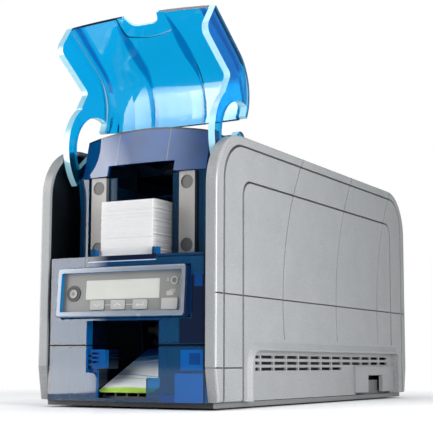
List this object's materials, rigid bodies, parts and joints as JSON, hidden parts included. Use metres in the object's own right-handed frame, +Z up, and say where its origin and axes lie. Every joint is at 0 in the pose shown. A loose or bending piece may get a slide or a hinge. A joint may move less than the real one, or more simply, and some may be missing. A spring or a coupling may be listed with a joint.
{
  "type": "id card printer",
  "caption": "Desktop identity-card printer: open clear hopper door over a card stack, control panel, output tray and vented side panels.",
  "frame": {"origin": "on the table under the middle of the machine: the centre of its bottom, with the hopper door open", "axes": "+X to the right seen from the front, +Y to the back, +Z up; the control panel faces -Y"},
  "size_m": [0.177, 0.4558, 0.3344],
  "materials": {
    "side_shell": "fine-grained semi-matte",
    "dark_tray": "matte",
    "rubber": "matte",
    "sheet_metal": "brushed",
    "black_plastic": "matte",
    "socket_metal": "plated",
    "navy_clear": "clear tinted gloss",
    "sky_clear": "clear tinted gloss",
    "bezel_lavender": "gloss",
    "panel_grey": "satin",
    "key_grey": "satin",
    "display": "clear",
    "board_green": "solder mask",
    "light": "gloss",
    "guide_grey": "matte",
    "card_white": "gloss",
    "card_print": "printed gloss",
    "aluminium_fins": "machined",
    "roller_rubber": "matte",
    "clean_rubber": "tacky",
    "belt_rubber": "matte",
    "motor_metal": "satin",
    "pulley_plastic": "satin",
    "spool_plastic": "satin",
    "ribbon_dye": "satin film",
    "parts_black": "matte"
  },
  "bodies": {
    "chassis": {"right_side_panel": "side_shell", "left_side_panel": "side_shell", "cable_port_cover": "side_shell", "base_tray": "dark_tray", "rubber_feet": "rubber", "rear_panel": "sheet_metal", "power_inlet": "black_plastic", "data_ports": "socket_metal", "rear_housing": "navy_clear", "lower_front_cover": "navy_clear", "upper_front_cover": "navy_clear", "output_tray": "black_plastic", "display_bezel": "bezel_lavender", "control_panel": "panel_grey", "display_glass": "display", "display_board": "board_green", "power_button_ring": "black_plastic", "status_light": "light", "hopper_frame": "navy_clear", "guide_plates": "guide_grey", "hopper_floor": "black_plastic", "card_stack": "card_white", "printed_card": "card_print", "inner_frames": "sheet_metal", "outer_frames": "sheet_metal", "tie_bars": "sheet_metal", "drive_belt": "belt_rubber", "drive_motor": "motor_metal", "exit_chute": "black_plastic", "ribbon_film": "ribbon_dye", "main_circuit_board": "board_green", "board_components": "parts_black", "power_supply": "sheet_metal", "fan_housing": "black_plastic"},
    "cover": {"top_cover": "navy_clear", "printhead_bracket": "sheet_metal", "thermal_printhead": "aluminium_fins"},
    "door": {"hopper_door": "sky_clear"},
    "key_down_body": {"key_down": "key_grey"},
    "key_up_body": {"key_up": "key_grey"},
    "key_enter_body": {"key_enter": "key_grey"},
    "user_button_body": {"user_button": "key_grey"},
    "power_button_body": {"power_button": "key_grey"},
    "pick_roller_body": {"pick_roller": "roller_rubber"},
    "feed_roller_body": {"feed_roller": "roller_rubber"},
    "platen_roller_body": {"platen_roller": "roller_rubber"},
    "transport_roller_body": {"transport_roller": "roller_rubber"},
    "cleaning_roller_body": {"cleaning_roller": "clean_rubber"},
    "pinch_roller_body": {"pinch_roller": "roller_rubber"},
    "exit_roller_body": {"exit_roller": "roller_rubber"},
    "exit_idler_body": {"exit_idler": "roller_rubber"},
    "motor_pulley_body": {"motor_pulley": "pulley_plastic"},
    "fan_impeller_body": {"fan_impeller": "black_plastic"},
    "supply_spool_body": {"ribbon_supply_spool": "spool_plastic", "ribbon_supply_roll": "ribbon_dye"},
    "takeup_spool_body": {"ribbon_takeup_spool": "spool_plastic", "ribbon_takeup_roll": "ribbon_dye"},
    "flipper": {"flipper_carriage": "black_plastic"},
    "flipper_lower_body": {"flipper_roller_lower": "roller_rubber"},
    "flipper_upper_body": {"flipper_roller_upper": "roller_rubber"}
  },
  "joints": [
    {"name": "cover_lift", "type": "hinge", "parent": "chassis", "child": "cover", "pos_m": [0, 0.15, 0.214], "axis": [-1, 0, 0], "range_deg": [0, 60]},
    {"name": "door_swing", "type": "hinge", "parent": "cover", "child": "door", "pos_m": [0, -0.158, 0.2234], "axis": [1, 0, 0], "range_deg": [0, 124.6]},
    {"name": "key_down_press", "type": "slide", "parent": "chassis", "child": "key_down_body", "axis": [0, 0.9973, -0.0732], "range_m": [0, 0.001], "stiffness_N_per_m": 300, "springref_m": -0.001},
    {"name": "key_up_press", "type": "slide", "parent": "chassis", "child": "key_up_body", "axis": [0, 0.9973, -0.0732], "range_m": [0, 0.001], "stiffness_N_per_m": 300, "springref_m": -0.001},
    {"name": "key_enter_press", "type": "slide", "parent": "chassis", "child": "key_enter_body", "axis": [0, 0.9973, -0.0732], "range_m": [0, 0.001], "stiffness_N_per_m": 300, "springref_m": -0.001},
    {"name": "user_button_press", "type": "slide", "parent": "chassis", "child": "user_button_body", "axis": [0, 0.9973, -0.0732], "range_m": [0, 0.001], "stiffness_N_per_m": 300, "springref_m": -0.001},
    {"name": "power_button_press", "type": "slide", "parent": "chassis", "child": "power_button_body", "axis": [0, 0.9973, -0.0732], "range_m": [0, 0.001], "stiffness_N_per_m": 300, "springref_m": -0.001},
    {"name": "platen_spin", "type": "hinge", "parent": "chassis", "child": "platen_roller_body", "pos_m": [0, -0.054, 0.1172], "axis": [1, 0, 0], "continuous": true},
    {"name": "pick_spin", "type": "hinge", "parent": "chassis", "child": "pick_roller_body", "pos_m": [0, -0.154, 0.1152], "axis": [1, 0, 0], "continuous": true},
    {"name": "feed_spin", "type": "hinge", "parent": "chassis", "child": "feed_roller_body", "pos_m": [0, -0.116, 0.1172], "axis": [1, 0, 0], "continuous": true},
    {"name": "transport_spin", "type": "hinge", "parent": "chassis", "child": "transport_roller_body", "pos_m": [0, 0.074, 0.1152], "axis": [1, 0, 0], "continuous": true},
    {"name": "cleaning_spin", "type": "hinge", "parent": "chassis", "child": "cleaning_roller_body", "pos_m": [0, -0.116, 0.13256], "axis": [1, 0, 0], "continuous": true},
    {"name": "pinch_spin", "type": "hinge", "parent": "chassis", "child": "pinch_roller_body", "pos_m": [0, 0.074, 0.13256], "axis": [1, 0, 0], "continuous": true},
    {"name": "motor_pulley_spin", "type": "hinge", "parent": "chassis", "child": "motor_pulley_body", "pos_m": [0, -0.004, 0.1132], "axis": [1, 0, 0], "continuous": true},
    {"name": "exit_spin", "type": "hinge", "parent": "chassis", "child": "exit_roller_body", "pos_m": [0, -0.118, 0.055], "axis": [1, 0, 0], "continuous": true},
    {"name": "exit_idler_spin", "type": "hinge", "parent": "chassis", "child": "exit_idler_body", "pos_m": [0, -0.1262, 0.066], "axis": [1, 0, 0], "continuous": true},
    {"name": "takeup_spin", "type": "hinge", "parent": "chassis", "child": "takeup_spool_body", "pos_m": [0, -0.004, 0.158], "axis": [1, 0, 0], "continuous": true},
    {"name": "supply_spin", "type": "hinge", "parent": "chassis", "child": "supply_spool_body", "pos_m": [0, -0.098, 0.158], "axis": [1, 0, 0], "continuous": true},
    {"name": "flipper_turn", "type": "hinge", "parent": "chassis", "child": "flipper", "pos_m": [0, 0.156, 0.12488], "axis": [1, 0, 0], "range_deg": [0, 180]},
    {"name": "flipper_lower_spin", "type": "hinge", "parent": "flipper", "child": "flipper_lower_body", "pos_m": [0, 0.156, 0.1182], "axis": [1, 0, 0], "continuous": true},
    {"name": "flipper_upper_spin", "type": "hinge", "parent": "flipper", "child": "flipper_upper_body", "pos_m": [0, 0.156, 0.13156], "axis": [1, 0, 0], "continuous": true},
    {"name": "fan_spin", "type": "hinge", "parent": "chassis", "child": "fan_impeller_body", "pos_m": [-0.038, 0.2, 0.042], "axis": [0, 1, 0], "continuous": true}
  ],
  "couplings": [
    {"joint": "pick_spin", "follows": "platen_spin", "ratio": 0.77778},
    {"joint": "feed_spin", "follows": "platen_spin", "ratio": 1},
    {"joint": "transport_spin", "follows": "platen_spin", "ratio": 0.77778},
    {"joint": "cleaning_spin", "follows": "platen_spin", "ratio": -1},
    {"joint": "pinch_spin", "follows": "platen_spin", "ratio": -1},
    {"joint": "motor_pulley_spin", "follows": "platen_spin", "ratio": 1},
    {"joint": "exit_idler_spin", "follows": "exit_spin", "ratio": -1.1667},
    {"joint": "supply_spin", "follows": "takeup_spin", "ratio": 0.81481},
    {"joint": "flipper_upper_spin", "follows": "flipper_lower_spin", "ratio": -1}
  ]
}
